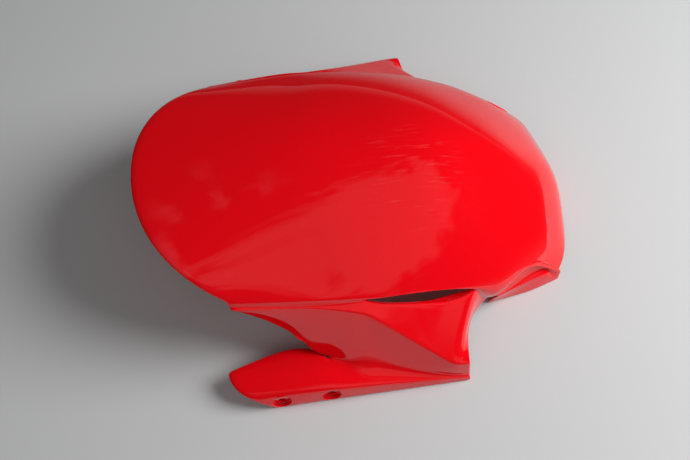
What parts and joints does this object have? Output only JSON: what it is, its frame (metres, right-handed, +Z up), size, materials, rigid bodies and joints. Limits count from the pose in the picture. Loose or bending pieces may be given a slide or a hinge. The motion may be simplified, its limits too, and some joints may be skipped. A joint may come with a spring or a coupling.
{
  "type": "motorcycle front mudguard",
  "caption": "Front mudguard of a sport motorcycle: a glossy red moulded arch with an air slot in each shoulder, side wings and fork covers with bolt holes.",
  "frame": {"origin": "on the table, below the middle of the part's box", "axes": "+X from the nose to the tail, +Y to one side, +Z up; both sides are mirrored in the plane y = 0"},
  "size_m": [0.367, 0.3282, 0.1182],
  "materials": {
    "red_paint": "gloss red paint under clear lacquer on moulded plastic"
  },
  "bodies": {
    "root": {"fender_shell": "red_paint"}
  },
  "joints": []
}
